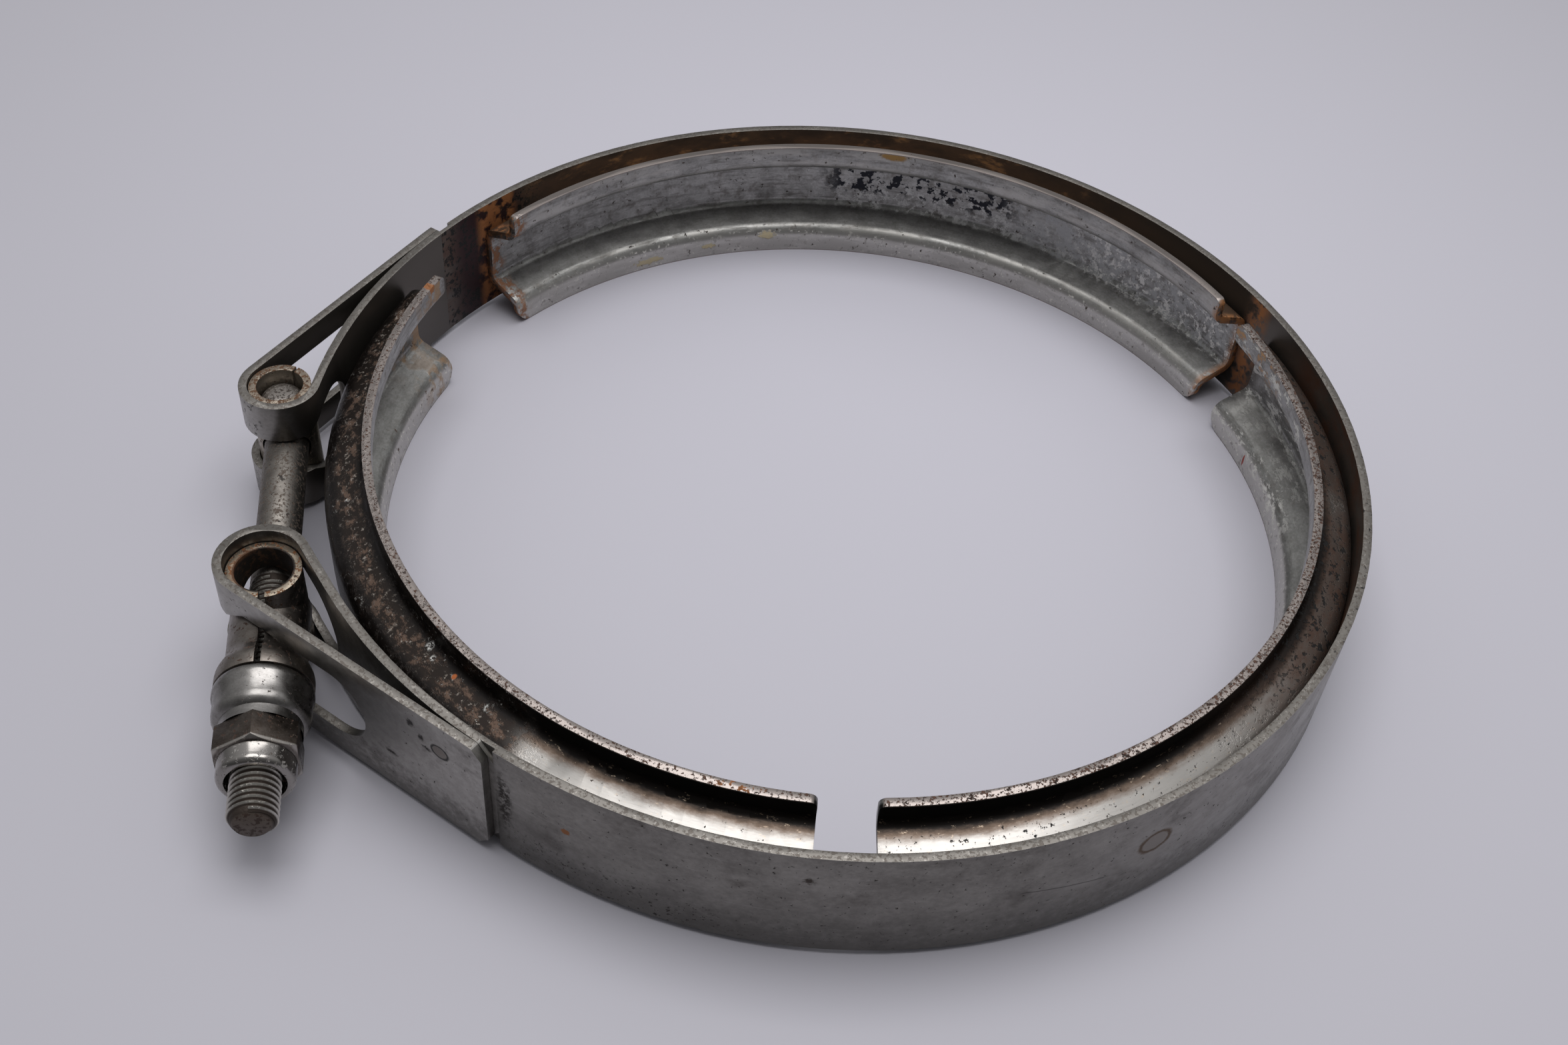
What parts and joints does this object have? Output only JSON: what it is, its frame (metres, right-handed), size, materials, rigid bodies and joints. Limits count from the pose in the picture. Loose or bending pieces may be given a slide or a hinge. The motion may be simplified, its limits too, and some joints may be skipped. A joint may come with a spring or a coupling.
{
  "type": "v-band clamp",
  "caption": "Round V-band clamp: folded steel strap with windowed loops, V retainers inside it, and a T-bolt, trunnion and captive nut that draw it tight.",
  "frame": {"origin": "centre of the clamping bore, on the ring's axis at mid width", "axes": "+Z along the ring's axis, away from the surface it lies on; -X towards the bolt, which runs nearly along -Y from its head"},
  "size_m": [0.2015, 0.187, 0.0264],
  "materials": {
    "strap_steel": "satin stainless sheet, soft darker mottling, sheared edges speckled brown",
    "retainer_steel": "pressed stainless sheet, sooty, with pale crusts and rust at the ends",
    "sleeve_steel": "rolled stainless sheet, dull, speckled on the rim",
    "bolt_steel": "dull stainless, brown specks, dirt in the thread",
    "trunnion_steel": "rolled stainless sheet, dull, rusty on the rim",
    "cup_steel": "drawn stainless, polished by handling",
    "nut_steel": "stainless, dark facets and bright corners",
    "lock_ring": "dark locking insert, matte"
  },
  "bodies": {
    "clamp": {"strap": "strap_steel", "retainer_left": "retainer_steel", "retainer_right": "retainer_steel", "retainer_back": "retainer_steel"},
    "bolt": {"t_bolt": "bolt_steel", "head_sleeve": "sleeve_steel"},
    "trunnion": {"trunnion": "trunnion_steel"},
    "cup": {"nut_cup": "cup_steel"},
    "nut": {"hex_nut": "nut_steel", "nut_lock_ring": "lock_ring"}
  },
  "joints": [
    {"name": "bolt_swing", "type": "hinge", "parent": "clamp", "child": "bolt", "pos_m": [-0.1009, -0.0037, 0], "axis": [0, 0, 1], "range_deg": [-0.7, 0.7]},
    {"name": "trunnion_turn", "type": "hinge", "parent": "clamp", "child": "trunnion", "pos_m": [-0.0927, -0.04591, 0], "axis": [0, 0, 1], "range_deg": [-1, 1]},
    {"name": "nut_travel", "type": "slide", "parent": "bolt", "child": "cup", "axis": [0.1908, -0.9816, 0], "range_m": [0, 0.0212]},
    {"name": "nut_spin", "type": "hinge", "parent": "cup", "child": "nut", "pos_m": [-0.1009, -0.0037, 0], "axis": [0.1908, -0.9816, 0], "range_deg": [0, 7200]}
  ],
  "couplings": [
    {"joint": "nut_travel", "follows": "nut_spin", "m_per_rad": 0.00016844}
  ]
}
